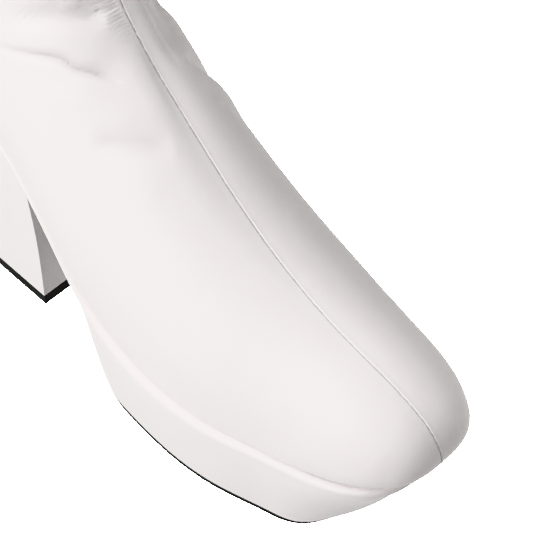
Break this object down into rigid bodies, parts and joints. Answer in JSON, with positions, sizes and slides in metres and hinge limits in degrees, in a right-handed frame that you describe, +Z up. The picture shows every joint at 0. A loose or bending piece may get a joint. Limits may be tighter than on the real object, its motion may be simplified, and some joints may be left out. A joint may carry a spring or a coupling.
{
  "type": "platform boot",
  "caption": "White leather platform boot for the right foot with a rounded toe, centre front seam, wrapped platform, block heel and thin black outsole.",
  "frame": {"origin": "on the floor, under the middle of the boot's box", "axes": "+X from heel to toe, +Y towards the inner (medial) side of the right foot, +Z up"},
  "size_m": [0.253, 0.0886, 0.3023],
  "materials": {
    "upper_leather": "smooth white leather, satin",
    "insole_lining": "matt beige lining",
    "platform_leather": "smooth white leather, satin",
    "outsole_rubber": "matt black",
    "heel_leather": "smooth white leather, satin",
    "lift_rubber": "matt black"
  },
  "bodies": {
    "root": {"upper": "upper_leather", "insole": "insole_lining", "platform": "platform_leather", "outsole": "outsole_rubber", "heel": "heel_leather", "heel_lift": "lift_rubber"}
  },
  "joints": []
}
